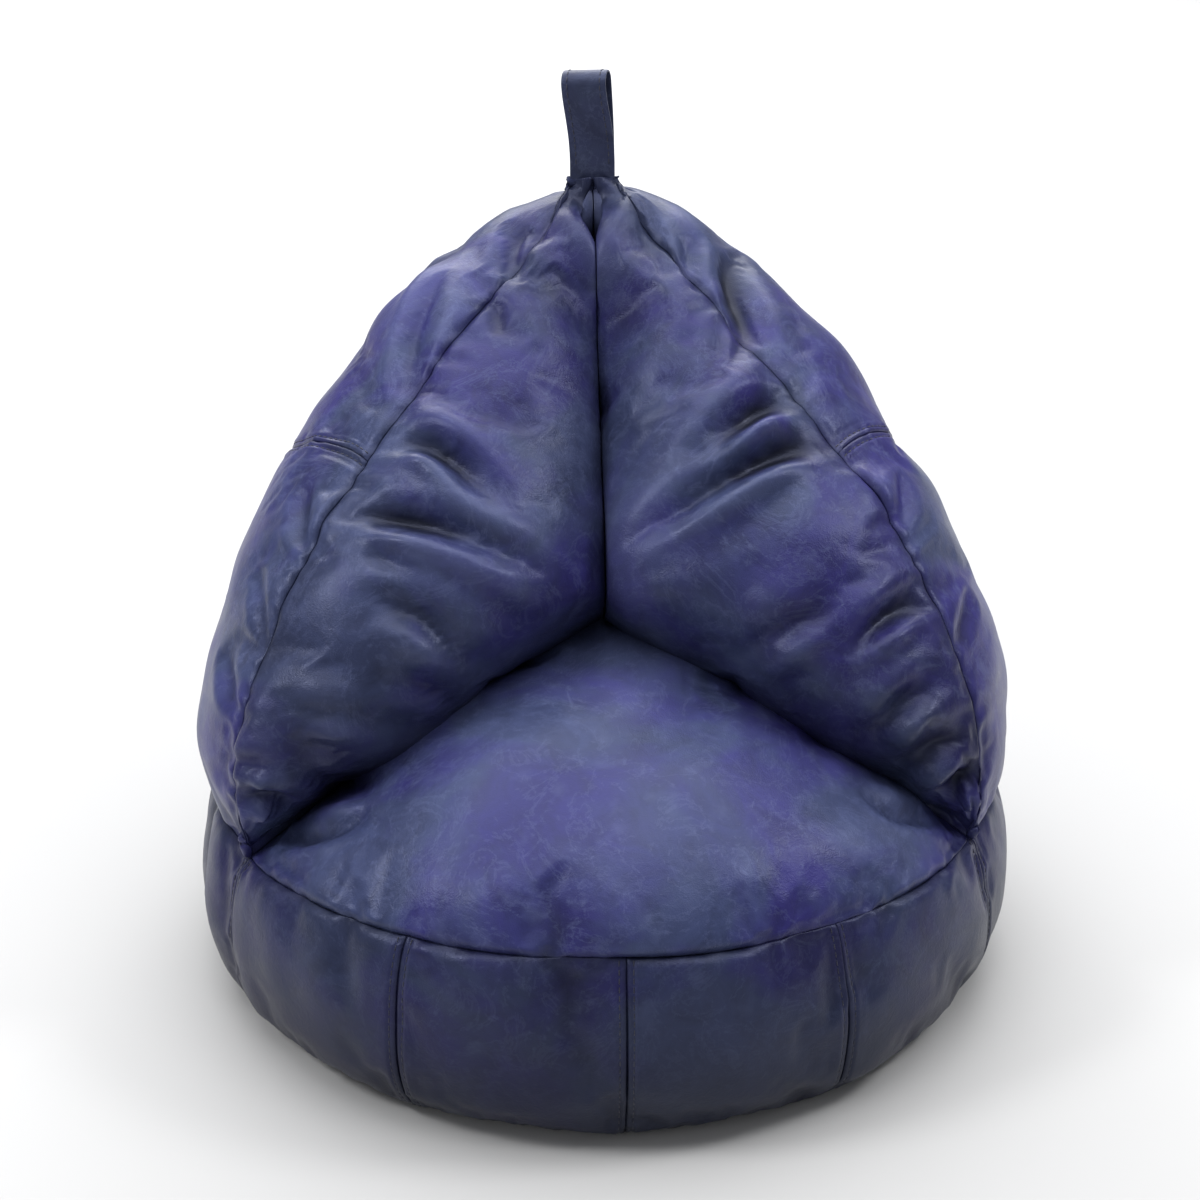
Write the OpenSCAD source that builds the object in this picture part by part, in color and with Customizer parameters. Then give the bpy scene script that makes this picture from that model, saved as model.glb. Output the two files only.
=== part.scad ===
/* [Bag] */
// Radius of the seam between band and seat, at the front
ring_r = 388; // [340:1:430]
// Height of the band's top seam at the sides and back
band_h = 186; // [160:1:210]
// Radius of the base panel's seam
base_r = 366; // [330:1:380]
// Height of the bag at the apex, where the handle is sewn in
apex_h = 742; // [700:1:790]
// How far the apex sits behind the centre of the base
apex_back = 205; // [180:1:230]

/* [Cover] */
// Thickness of the cover fabric
cover_t = 2; // [1.5:0.1:2.5]
// Width of the topstitching thread
thread_w = 1.2; // [0.8:0.1:1.6]
// Distance from a topstitched seam to each row of stitches
stitch_gap = 7; // [5:0.5:10]

/* [Handle] */
// Width of the handle strap
strap_w = 45; // [35:1:46]
// Length of the handle loop above the seam
strap_h = 105; // [80:1:120]
// Thickness of the strap, two plies of cover fabric
strap_t = 3; // [2:0.1:3.5]

/* [Zips] */
// Half height of the gap that shows the zip at the back
zip_gap = 5; // [5:0.1:6]
// Length of the liner's straight zip
liner_zip_l = 320; // [200:10:400]

/* [Hidden] */
corner_az = 64;        // where seat, bolster and side panels meet, in degrees from the front
side_bulge = 12;       // how much wider the ring is at the back than at the front
front_lift = 14;       // how much the front of the ring stands above its sides
zip_from = 122;        // where the back seam starts to part for the zip
zip_open = 131.667;    // where it is fully parted
fold_v = 0.45;         // level of the point where the three front seams meet
split_u0 = 0.56;       // level of the cross seam of the back where it leaves the bolster
split_u1 = 0.425;      // and at the centre of the back
back_span = 180 - corner_az;
ring_back = ring_r + side_bulge;

// Named points of the right half; the left half is its mirror image
back_corner = [0, 80, 338];
apex = [0, apex_back, apex_h];
apex_side = [24, apex_back, apex_h];
ring_rear = [0, ring_back, band_h];

// Grid lines that neighbouring panels share
v_low = [0, .06, .12, .18, .25, .32, .385, .45, .505, .56];
v_high = [.56, .62, .68, .74, .80, .86, .91, .96, 1];
az_front = [0, 10, 20, 30, 38.5, 47, 55.5, 64];
band_seams = [0, 30, 64, 93, 122, 151, 180];
steps_back = 12;       // divisions round each half of the back
steps_across = 8;      // divisions across a bolster

liner_depth = 14;      // how far the liner lies inside the cover's outer face
liner_t = 1;
fill_depth = liner_depth + liner_t + 1.5;
liner_floor = 13;      // underside of the liner above the ground
anchor_t = 2;

tape_r = ring_back - 5;      // middle radius of the zip tape
tape_t = 1;
tape_w = 11;                 // height of each tape
coil_in = 0.9;               // free space between the middle plane and a coil
coil_h = 2.6;
coil_t = 2.4;
zip_half = 180 - zip_open;   // half the angle of the open zip
slider_l = 15;
slider_w = 8.4;
slider_park = zip_half - 3;  // angle of the closed slider from the middle of the back
pull_l = 30;

// ---- small helpers ----
function unit(a) = a / max(norm(a), 1e-6);
function mid(a, b, t) = a + (b - a) * t;
function flip(p, side) = [side * p.x, p.y, p.z];
function tidy(p) = [for (c = p) round(c * 1000) / 1000];
function smooth(t) = let (c = min(max(t, 0), 1)) c * c * (3 - 2 * c);
function cubic(a, b, c, d, t) =
    pow(1 - t, 3) * a + 3 * t * pow(1 - t, 2) * b + 3 * t * t * (1 - t) * c + pow(t, 3) * d;
function pick(v, keys, values) =
    [for (k = [0:2]) lookup(v, [for (i = [0:len(keys) - 1]) [keys[i], values[i][k]]])];

// ---- seams ----
function ring_radius(az) = ring_r + side_bulge * sin(90 * min(max((abs(az) - corner_az) / 61, 0), 1));
function ring_z(az) = band_h + front_lift * cos(90 * min(abs(az) / corner_az, 1));
function ring(az) = [ring_radius(az) * sin(az), -ring_radius(az) * cos(az), ring_z(az)];
function part_of_zip(az) = zip_gap * min(max((abs(az) - zip_from) / (zip_open - zip_from), 0), 1);
function ring_upper(az) = ring(az) + [0, 0, part_of_zip(az)];
function ring_lower(az) = ring(az) - [0, 0, part_of_zip(az)];
corner = ring(corner_az);
edge_frame = [corner, [387, -215, 290], [328, -95, 544], [60, 110, 645], apex_side];
function edge_seam(v) =
    pow(1 - v, 4) * edge_frame[0] + 4 * v * pow(1 - v, 3) * edge_frame[1]
    + 6 * v * v * pow(1 - v, 2) * edge_frame[2] + 4 * pow(v, 3) * (1 - v) * edge_frame[3]
    + pow(v, 4) * edge_frame[4];
function seat_seam(t) =
    cubic(corner, corner + [-110, 70, 60], back_corner + [90, -60, -20], back_corner, t);
function centre_seam(t) =
    cubic(back_corner, back_corner + [0, 45, 150], apex + [0, -40, -150], apex, t);
function inner_seam(v) =
    v < fold_v ? seat_seam(v / fold_v) : centre_seam((v - fold_v) / (1 - fold_v));
function spine(v) =
    cubic(ring_rear, [0, ring_back + 55, 370], [0, apex_back + 125, apex_h - 102],
          [0, apex_back, apex_h], v);

// ---- panel surfaces, each a point for two parameters from 0 to 1 ----
function bolster(u, v) =
    let (a = inner_seam(v), b = edge_seam(v), l = norm(b - a),
         leave = unit(pick(v, [0, .2, .45, .7, 1],
             [[-.2, -.5, .6], [-.3, -.6, .65], [-.15, -.95, .4], [.08, -1, .15], [.3, -1, .3]])),
         arrive = unit(pick(v, [0, .3, .6, 1],
             [[.6, .3, -.5], [.8, .45, -.1], [.8, .55, -.1], [.8, .3, .1]])))
    cubic(a, a + leave * l * .55, b - arrive * l * .5, b, u);

function back_loft(u, v) =
    let (a = edge_seam(v), b = spine(v), l = norm(b - a),
         fuller = lookup(v, [[0, 0], [.5, 15], [.75, 55], [.88, 42], [.96, 6], [1, 0]]),
         leave = unit(pick(v, [0, .3, .6, 1],
             [[.55, .85, .05], [.45, .9, .05], [.6, .8, .25], [.8, .5, .3]])))
    cubic(a, a + leave * (l * .38 + fuller), b + [l * .4 + fuller, 0, 0], b, u);
function back_az(u) = corner_az + u * back_span;
function back(u, v) =
    back_loft(u, v) + pow(1 - v, 3) * (ring(back_az(u)) - back_loft(u, 0))
    + pow(1 - v, 8) * [0, 0, part_of_zip(back_az(u))];
function split_v(u) = mid(split_u0, split_u1, smooth(2 * u));

function seat(a, v) =
    let (p = ring(a * corner_az), s = a < 0 ? -1 : 1, c = 1 - pow(abs(a), 2.6),
         rise = [p.x * .95, -372 + (p.y + ring_r) * .9, 290],
         crest = [p.x * .35, -70, 372])
    cubic(p, mid(flip(corner + [-110, 70, 60], s), rise, c),
          mid(flip(back_corner + [90, -60, -20], s), crest, c), back_corner, v);

function band(az, t) =
    let (out = [sin(az), -cos(az), 0], top = ring_lower(az), low = base_r * out + [0, 0, cover_t])
    cubic(top, top + out * 30 + [0, 0, -55], low + out * 54 + [0, 0, 12], low, t);

// ---- inset directions, per millimetre of depth ----
in_corner = [.1, 1.2, -.6];
in_fold = [0, 1.3, -.55];
in_apex = [0, 0, -1.2];
function in_ring(az) =
    abs(az) >= corner_az
    ? mid([in_corner.x * sign(az), in_corner.y, in_corner.z], [-sin(az), cos(az), 0], smooth((abs(az) - corner_az) / 25))
    : mid([in_corner.x * sign(az), in_corner.y, in_corner.z], [-sin(az), cos(az), -.45], smooth((corner_az - abs(az)) / 25));
function in_base(az) = [-sin(az), cos(az), .8];
function in_edge(v) = pick(v, [0, .15, .5, .85, 1],
    [in_corner, [-.8, .7, -.2], [-.8, .75, -.1], [-.5, .7, -.7], in_apex]);
function in_inner(v) = pick(v, [0, .12, .3, .45, .6, .85, 1],
    [in_corner, [.6, .6, -.7], [1, .5, -.75], in_fold, [0, 1.4, -.4], [0, 1.2, -.7], in_apex]);
function in_spine(v) = pick(v, [0, .4, .8, 1], [[0, -1, 0], [0, -1, -.1], [0, -.8, -.6], in_apex]);

// Inward normal at grid point i, j of a grid of points
function grid_in(g, i, j) =
    let (n = len(g) - 1, m = len(g[0]) - 1,
         a = g[min(i + 1, n)][j] - g[max(i - 1, 0)][j],
         b = g[i][min(j + 1, m)] - g[i][max(j - 1, 0)])
    unit(cross(a, b));
function inset(g, dir, depth) =
    [for (i = [0:len(g) - 1]) [for (j = [0:len(g[0]) - 1]) tidy(g[i][j] + depth * dir[i][j])]];
function tidied(g) = [for (row = g) [for (p = row) tidy(p)]];
function mirrored(g) = [for (row = g) [for (i = [len(row) - 1:-1:0]) flip(row[i], -1)]];

// ---- grids of points, rows along v and columns along u, and their inset directions ----
v_all = concat(v_low, [for (i = [1:len(v_high) - 1]) v_high[i]]);
bolster_grid = [for (v = v_all) [for (i = [0:steps_across]) bolster(i / steps_across, v)]];
bolster_dir = [for (j = [0:len(v_all) - 1]) [for (i = [0:steps_across])
    let (v = v_all[j], near = smooth(v / .2) * smooth((1 - v) / .12))
    i == 0 ? in_inner(v) : i == steps_across ? in_edge(v)
    : mid(v < .5 ? in_corner : in_apex, grid_in(bolster_grid, j, i), near)]];

function back_rows(levels, upper) =
    [for (v = levels) [for (i = [0:steps_back])
        let (u = i / steps_back, s = split_v(u),
             w = upper ? 1 - (1 - v) / (1 - split_u0) * (1 - s) : v / split_u0 * s)
        back(u, w)]];
low_grid = back_rows(v_low, false);
high_grid = back_rows(v_high, true);
whole_back = concat(low_grid, [for (j = [1:len(high_grid) - 1]) high_grid[j]]);
whole_dir = [for (j = [0:len(v_all) - 1]) [for (i = [0:steps_back])
    let (v = v_all[j], near = smooth((1 - v) / .2))
    j == 0 ? in_ring(back_az(i / steps_back)) : v == 1 ? in_apex
    : i == 0 ? in_edge(v) : i == steps_back ? in_spine(v)
    : mid(in_apex, grid_in(whole_back, j, i), near)]];
low_dir = [for (j = [0:len(v_low) - 1]) whole_dir[j]];
high_dir = [for (j = [len(v_low) - 1:len(v_all) - 1]) whole_dir[j]];

az_seat = concat([for (i = [len(az_front) - 1:-1:1]) -az_front[i]], az_front);
v_seat = [for (i = [0:7]) v_low[i] / fold_v];
seat_grid = [for (v = v_seat) [for (az = az_seat) seat(az / corner_az, v)]];
seat_dir = [for (j = [0:7]) [for (i = [0:len(az_seat) - 1])
    j == 0 ? in_ring(az_seat[i]) : j == 7 ? in_fold
    : i == 0 ? flip(in_inner(v_low[j]), -1) : i == len(az_seat) - 1 ? in_inner(v_low[j])
    : mid(in_fold, grid_in(seat_grid, j, i), smooth((1 - v_seat[j]) / .35))]];

t_band = [1, .75, .5, .25, 0];
function band_az(k) =
    k < 1 ? [0, 10, 20, 30] : k < 2 ? [30, 38.5, 47, 55.5, 64]
    : [for (i = [0:3]) band_seams[k] + i * back_span / steps_back];
function band_grid(azs) = [for (t = t_band) [for (az = azs) band(az, t)]];
function band_dir(azs) = [for (t = t_band) [for (az = azs)
    t == 1 ? in_base(az) : t == 0 ? in_ring(az) : mid([-sin(az), cos(az), 0], [-sin(az), cos(az), .45], t)]];

// ---- solids from grids ----
function ok(t) = norm(t[0] - t[1]) > 1e-3 && norm(t[1] - t[2]) > 1e-3 && norm(t[2] - t[0]) > 1e-3;
function face(g) = [for (j = [0:len(g) - 2]) for (i = [0:len(g[0]) - 2])
    for (t = [[g[j][i], g[j + 1][i], g[j][i + 1]], [g[j + 1][i], g[j + 1][i + 1], g[j][i + 1]]]) if (ok(t)) t];
function turned(ts) = [for (t = ts) [t[0], t[2], t[1]]];
function rim(a, b) = [for (i = [0:len(a) - 2])
    for (t = [[a[i], a[i + 1], b[i + 1]], [a[i], b[i + 1], b[i]]]) if (ok(t)) t];
function column(g, i) = [for (row = g) row[i]];
module soup(ts) {
    polyhedron(points = [for (t = ts) for (p = t) p],
               faces = [for (k = [0:len(ts) - 1]) [3 * k, 3 * k + 1, 3 * k + 2]]);
}
module skin(g, dir, depth = cover_t) {
    out = tidied(g);
    in = inset(g, dir, depth);
    n = len(g) - 1;
    m = len(g[0]) - 1;
    soup(concat(face(out), turned(face(in)),
        turned(rim(out[n], in[n])), rim(out[0], in[0]),
        rim(column(out, m), column(in, m)), turned(rim(column(out, 0), column(in, 0)))));
}

// ---- cover ----
module cover_colour() { color([.27, .28, .50]) children(); }
module base_panel() { color([.13, .13, .18]) cylinder(h = cover_t, r = base_r + 1, $fn = 96); }
module band_panel(k) {
    right = k < 6;
    azs = band_az(right ? k : 11 - k);
    use = right ? azs : [for (i = [len(azs) - 1:-1:0]) -azs[i]];
    cover_colour() skin(band_grid(use), band_dir(use));
}
module seat_panel() { cover_colour() skin(seat_grid, seat_dir); }
module bolster_panel(side) {
    cover_colour() if (side > 0) skin(bolster_grid, bolster_dir);
        else skin(mirrored(bolster_grid), mirrored(bolster_dir));
}
module lower_back_panel(side) {
    cover_colour() if (side > 0) skin(low_grid, low_dir);
        else skin(mirrored(low_grid), mirrored(low_dir));
}
module upper_back_panel(side) {
    cover_colour() if (side > 0) skin(high_grid, high_dir);
        else skin(mirrored(high_grid), mirrored(high_dir));
}

// A flat thread laid along a row of points, a hair above the cover
thread_rise = .6;
module thread(points, outs, across) {
    n = len(points) - 1;
    ring_at = [for (i = [0:n]) [for (c = [[-1, 0], [1, 0], [1, 1], [-1, 1]])
        tidy(points[i] + across[i] * c[0] * thread_w / 2 + outs[i] * (thread_rise + c[1] * .8))]];
    loop = [for (r = ring_at) concat(r, [r[0]])];
    cap_a = ring_at[0];
    cap_b = ring_at[n];
    soup(concat(face(loop), [[cap_a[0], cap_a[1], cap_a[2]], [cap_a[0], cap_a[2], cap_a[3]],
        [cap_b[0], cap_b[2], cap_b[1]], [cap_b[0], cap_b[3], cap_b[2]]]));
}
// Point of a band seam's stitch row: on the flat facet beside the seam at azimuth az
function band_stitch(az, step, t) =
    let (gap = stitch_gap / norm(band(az + step, t) - band(az, t)),
         t0 = floor(t * 4 - .001) / 4, t1 = t0 + .25, w = (t - t0) / .25,
         a = mid(band(az, t0), band(az, t1), w), b = mid(band(az + step, t0), band(az + step, t1), w))
    mid(a, b, gap);
function band_step(az, side) =
    side * (abs(az + side) < 30 ? 10 : abs(az + side) < corner_az ? 8.5 : back_span / steps_back);
module band_topstitching() {
    ts = [.08, .25, .5, .75, .93];
    color([.16, .17, .34]) for (az = concat(band_seams, [-30, -64, -93, -122, -151]), side = [-1, 1]) {
        at = [for (t = ts) band_stitch(az, band_step(az, side), t)];
        round_way = unit([cos(az), sin(az), 0]);
        thread(at, [for (i = [0:4]) unit(cross(round_way, at[max(i - 1, 0)] - at[min(i + 1, 4)]))],
               [for (i = [0:4]) -round_way]);
    }
}
module back_topstitching() {
    j = len(v_low) - 1;
    color([.16, .17, .34]) for (side = [-1, 1], row = [-1, 1]) {
        at = [for (i = [0:steps_back]) let (a = whole_back[j][i], b = whole_back[j + row][i])
            a + unit(b - a) * stitch_gap];
        use = [for (i = [0:steps_back]) i == 0 ? mid(at[0], at[1], .12)
            : i == steps_back ? mid(at[i], at[i - 1], .12) : at[i]];
        up = [for (i = [0:steps_back]) unit(whole_back[j + 1][i] - whole_back[j - 1][i])];
        along = [for (i = [0:steps_back]) unit(at[min(i + 1, steps_back)] - at[max(i - 1, 0)])];
        thread([for (p = use) flip(p, side)],
               [for (i = [0:steps_back]) flip(unit(cross(along[i], up[i])), side)],
               [for (i = [0:steps_back]) flip(up[i], side) * side]);
    }
}

// ---- zip of the cover: an arc about the vertical axis ----
module arc(r_in, r_out, z_low, z_high, half) {
    rotate([0, 0, 90 - half]) rotate_extrude(angle = 2 * half, $fn = 180)
        translate([r_in, z_low]) square([r_out - r_in, z_high - z_low]);
}
module zip_tape(side) {
    z = side > 0 ? band_h + coil_in + .3 : band_h - coil_in - .3 - tape_w;
    color([.10, .10, .14]) arc(tape_r - tape_t / 2, tape_r + tape_t / 2, z, z + tape_w, zip_half + 2);
}
module zip_coil(side) {
    z = side > 0 ? band_h + coil_in : band_h - coil_in - coil_h;
    color([.07, .07, .10])
        arc(tape_r + tape_t / 2, tape_r + tape_t / 2 + coil_t, z, z + coil_h, zip_half);
}
module zip_end_stops() {
    color([.55, .55, .58]) for (side = [-1, 1]) rotate([0, 0, 90 + side * (zip_half + .6)])
        translate([tape_r + tape_t / 2, -1.4, band_h - 3.6]) cube([2.6, 2.8, 7.2]);
}
// Slider and pull are drawn at the middle of the back and turned to where the closed slider parks
module at_slider() {
    rotate([0, 0, slider_park]) translate([0, tape_r, band_h]) children();
}
slider_face = tape_t / 2 + coil_t + .5;   // inner side of the outer plate, from the tape's middle
pivot_y = slider_face + 3.1;              // axis of the pull, from the tape's middle
module zip_slider() {
    color([.62, .62, .65]) at_slider() {
        translate([-slider_l / 2, slider_face, -slider_w / 2]) cube([slider_l, 1.5, slider_w]);
        translate([-slider_l / 2, -tape_t / 2 - 2, -slider_w / 2]) cube([slider_l, 1.5, slider_w]);
        translate([slider_l / 2 - 4, -tape_t / 2 - 2, -.5]) cube([3.5, slider_face + 2.8, 1]);
        for (z = [-3.1, 1.9]) translate([-2, slider_face + 1, z]) cube([4, 3.4, 1.2]);
        translate([0, pivot_y, -3.1]) cylinder(h = 6.2, r = .8, $fn = 32);
    }
}
module zip_pull() {
    color([.62, .62, .65]) at_slider() translate([0, pivot_y, 0]) difference() {
        union() {
            translate([0, 0, -1.7]) cylinder(h = 3.4, r = 1.45, $fn = 32);
            translate([0, -.6, -1.7]) cube([8, 1.2, 3.4]);
            translate([6, -.6, -3.2]) cube([pull_l - 6, 1.2, 6.4]);
        }
        translate([0, 0, -4]) cylinder(h = 8, r = .9, $fn = 32);
        translate([pull_l - 5, 5, 0]) rotate([90, 0, 0]) cylinder(h = 10, r = 1.6, $fn = 32);
    }
}

// ---- handle: a strap folded into a loop, its ends sewn into the apex ----
loop_r = 12;
strap_z = apex_h + 4;
module strap_outline(grow) {
    hull() {
        translate([0, strap_h - loop_r - strap_t]) circle(r = loop_r + grow, $fn = 64);
        translate([-1.6 - grow, 0]) square([3.2 + 2 * grow, 1]);
    }
}
module handle_strap() {
    color([.22, .23, .44]) translate([-strap_w / 2, apex_back, strap_z]) rotate([90, 0, 90])
        linear_extrude(strap_w) difference() {
            strap_outline(strap_t);
            translate([0, -.01]) strap_outline(0);
        }
}
module handle_stitching() {
    color([.16, .17, .34]) for (x = [-1, 1]) translate([x * (strap_w / 2 - 3.5) - .5, apex_back, strap_z])
        rotate([90, 0, 90]) linear_extrude(1) difference() {
            strap_outline(strap_t + .8);
            translate([0, -.01]) strap_outline(strap_t + .05);
            translate([-50, -1]) square([100, 9]);
        }
}
module handle_anchor() {
    color([.10, .10, .14]) translate([-16, apex_back + 1, apex_h - 13]) cube([32, anchor_t, 7]);
}

// ---- liner and filling ----
// Everything above the base, inset to a depth and closed round its lower edge
function shell_faces(depth) = let (
        low = inset(low_grid, low_dir, depth),
        high = inset(high_grid, high_dir, depth),
        side = inset(bolster_grid, bolster_dir, depth),
        edge = concat(side[len(side) - 1], [for (i = [1:steps_back - 1]) high[len(high) - 1][i]]),
        n = len(edge), middle = tidy(mid(edge[0], edge[steps_across], .5)),
        cap = [for (i = [0:n - 1]) [middle, edge[(i + 1) % n], edge[i]]])
    concat(face(low), face(high), face(side), cap,
           face(mirrored(low)), face(mirrored(high)), face(mirrored(side)),
           [for (t = cap) [flip(t[0], -1), flip(t[2], -1), flip(t[1], -1)]],
           face(inset(seat_grid, seat_dir, depth)));
// The liner's lower edge stands on a circle just inside the band
liner_foot_r = base_r + 5;
function foot_point(p, depth, floor_z) =
    let (r = (liner_foot_r + liner_depth - depth) / norm([p.x, p.y])) tidy([p.x * r, p.y * r, floor_z]);
function wall_faces(depth, floor_z) = concat([for (k = [0:11])
    let (right = k < 6, azs = band_az(right ? k : 11 - k),
         use = right ? azs : [for (i = [len(azs) - 1:-1:0]) -azs[i]],
         g = inset([for (t = t_band) [for (az = use)
                 t == 0 ? ring_upper(az) : band(az, t)]], band_dir(use), depth))
    each face([for (j = [0:len(g) - 1]) j == 0 ? [for (p = g[1]) foot_point(p, depth, floor_z)] : g[j]])]);
ring_az = concat([for (i = [0:3]) i * 10], [38.5, 47, 55.5], [for (i = [0:12]) corner_az + i * back_span / 12]);
foot_az = concat(ring_az, [for (i = [len(ring_az) - 2:-1:1]) -ring_az[i]]);
function foot(depth, floor_z) = [for (az = foot_az)
    let (p = band(az, t_band[1]) + depth * mid([-sin(az), cos(az), 0], [-sin(az), cos(az), .45], t_band[1]),
         q = tidy(p))
    foot_point(q, depth, floor_z)];
module liner_body() {
    a = foot(liner_depth, liner_floor);
    b = foot(liner_depth + liner_t, liner_floor);
    color([.86, .86, .84]) soup(concat(
        shell_faces(liner_depth), wall_faces(liner_depth, liner_floor),
        turned(shell_faces(liner_depth + liner_t)), turned(wall_faces(liner_depth + liner_t, liner_floor)),
        rim(concat(a, [a[0]]), concat(b, [b[0]]))));
}
module bead_fill() {
    z = liner_floor + 1;
    a = foot(fill_depth, z);
    n = len(a);
    color([.95, .95, .95]) soup(concat(
        shell_faces(fill_depth), wall_faces(fill_depth, z),
        [for (i = [0:n - 1]) [[0, 0, z], a[i], a[(i + 1) % n]]]));
}
liner_base_r = base_r + 6.3;
liner_slit = 2;
module liner_base(side) {
    color([.86, .86, .84]) translate([0, 0, liner_floor - .8]) intersection() {
        cylinder(h = .8, r = liner_base_r, $fn = 96);
        translate([-400, side > 0 ? liner_slit : -400 - liner_slit, -1]) cube([800, 400, 3]);
    }
}
module liner_zip_tapes() {
    color([.80, .80, .78]) for (side = [-1, 1])
        translate([-liner_zip_l / 2, side > 0 ? 1.2 : -13.2, liner_floor - 1.8]) cube([liner_zip_l, 12, .8]);
}
module liner_zip_coils() {
    color([.75, .75, .73]) for (side = [-1, 1])
        translate([-liner_zip_l / 2, side > 0 ? .9 : -2.9, liner_floor - 3.6]) cube([liner_zip_l, 2, 1.8]);
}
module liner_zip_slider() {
    color([.62, .62, .65]) translate([-liner_zip_l / 2 + 20, 0, liner_floor]) {
        translate([-6, -4, -5.6]) cube([12, 8, 1.5]);
        translate([2, -.5, -4.2]) cube([3, 1, 3.4]);
        for (y = [-4, 3.2]) translate([-6, y, -4.2]) cube([12, .8, 2]);
    }
}

base_panel();
for (k = [0:11]) band_panel(k);
seat_panel();
bolster_panel(-1);  // bolster_panel_left
bolster_panel(1);  // bolster_panel_right
lower_back_panel(-1);  // lower_back_panel_left
lower_back_panel(1);  // lower_back_panel_right
upper_back_panel(-1);  // upper_back_panel_left
upper_back_panel(1);  // upper_back_panel_right
band_topstitching();
back_topstitching();
zip_tape(1);  // zip_tape_upper
zip_tape(-1);  // zip_tape_lower
zip_coil(1);  // zip_coil_upper
zip_coil(-1);  // zip_coil_lower
zip_end_stops();
zip_slider();
zip_pull();
handle_strap();
handle_stitching();
handle_anchor();
liner_body();
liner_base(-1);  // liner_base_front
liner_base(1);  // liner_base_rear
liner_zip_tapes();
liner_zip_coils();
liner_zip_slider();
bead_fill();
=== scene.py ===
import math
import bpy
import numpy as np
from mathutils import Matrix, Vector
from mathutils.bvhtree import BVHTree


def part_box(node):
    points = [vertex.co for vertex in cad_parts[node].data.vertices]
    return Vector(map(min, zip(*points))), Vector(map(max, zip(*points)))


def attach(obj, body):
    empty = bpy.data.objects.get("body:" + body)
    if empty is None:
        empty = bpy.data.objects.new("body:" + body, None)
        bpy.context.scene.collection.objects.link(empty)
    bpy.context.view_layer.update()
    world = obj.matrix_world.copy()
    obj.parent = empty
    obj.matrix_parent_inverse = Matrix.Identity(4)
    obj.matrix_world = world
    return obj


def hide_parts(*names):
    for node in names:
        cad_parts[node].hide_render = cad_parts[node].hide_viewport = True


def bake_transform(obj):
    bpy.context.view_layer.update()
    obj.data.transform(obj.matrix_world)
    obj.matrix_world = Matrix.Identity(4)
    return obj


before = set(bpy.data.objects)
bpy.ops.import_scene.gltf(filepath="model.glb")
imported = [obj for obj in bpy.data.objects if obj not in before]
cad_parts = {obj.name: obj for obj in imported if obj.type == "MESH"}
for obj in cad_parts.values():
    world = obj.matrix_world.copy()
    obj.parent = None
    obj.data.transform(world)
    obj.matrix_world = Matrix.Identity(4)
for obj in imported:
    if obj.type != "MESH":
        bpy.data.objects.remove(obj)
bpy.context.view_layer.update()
scene = bpy.context.scene
scene.view_settings.view_transform = "Standard"
print("frame loaded")

# angles in degrees, lengths in metres, here and in every dictionary below
cameraView = {"azimuth": -3, "elevation": 25, "distance": 2.25, "aimHeight": .35,
              "lens": 67.5, "shift": (-.0025, .0133)}


def addCamera(view):
    # the camera stands on a sphere around the aim point
    az, el = math.radians(view["azimuth"]), math.radians(view["elevation"])
    back = Vector((math.sin(az) * math.cos(el), -math.cos(az) * math.cos(el), math.sin(el)))
    data = bpy.data.cameras.new("camera")
    data.lens = view["lens"]
    data.shift_x, data.shift_y = view["shift"]
    camera = bpy.data.objects.new("camera", data)
    camera.location = Vector((0, 0, view["aimHeight"])) + back * view["distance"]
    camera.rotation_euler = back.to_track_quat("Z", "Y").to_euler()
    scene.collection.objects.link(camera)
    scene.camera = camera


addCamera(cameraView)

studio = {"world": .27, "worldColour": (.96, .97, 1), "floorColour": (.62, .62, .62),
          "floorHalf": 30, "floorDrop": .0005, "floorRoughness": .9,
          "lights": [("overhead", (0, .3, 3.0), (0, 0, 0), 3.4, 96),
                     ("backdrop", (0, 5.2, 3.2), (0, 5.0, 0), 5.0, 330),
                     ("front", (-1.3, -2.6, 1.7), (0, 0, .35), 1.4, 4),
                     ("left", (-1.9, -.6, 2.0), (0, 0, .45), .6, 22),
                     ("right", (1.9, -.3, 2.1), (0, 0, .45), .6, 20)]}


def addStudio(s):
    # a pale floor, an even sky and square lamps, each given as name, place, aim, size and watts
    world = bpy.data.worlds.new("studio")
    world.use_nodes = True
    sky = world.node_tree.nodes["Background"]
    sky.inputs["Color"].default_value = (*s["worldColour"], 1)
    sky.inputs["Strength"].default_value = s["world"]
    scene.world = world
    for name, place, aim, size, power in s["lights"]:
        data = bpy.data.lights.new(name, "AREA")
        data.size, data.energy = size, power
        lamp = bpy.data.objects.new(name, data)
        lamp.location = place
        lamp.rotation_euler = (Vector(place) - Vector(aim)).to_track_quat("Z", "Y").to_euler()
        scene.collection.objects.link(lamp)
    mesh = bpy.data.meshes.new("floor")
    corners = [(x * s["floorHalf"], y * s["floorHalf"], -s["floorDrop"])
               for x, y in ((-1, -1), (1, -1), (1, 1), (-1, 1))]
    mesh.from_pydata(corners, [], [(0, 1, 2, 3)])
    floor = bpy.data.objects.new("floor", mesh)
    scene.collection.objects.link(floor)
    paint = bpy.data.materials.new("floorPaint")
    paint.use_nodes = True
    shader = paint.node_tree.nodes["Principled BSDF"]
    shader.inputs["Base Color"].default_value = (*s["floorColour"], 1)
    shader.inputs["Roughness"].default_value = s["floorRoughness"]
    mesh.materials.append(paint)


addStudio(studio)
print("camera and studio ready")

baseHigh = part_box("base_panel")[1]
strapLow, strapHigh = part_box("handle_strap")
coilLow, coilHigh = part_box("zip_coil_lower")[0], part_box("zip_coil_upper")[1]

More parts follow.
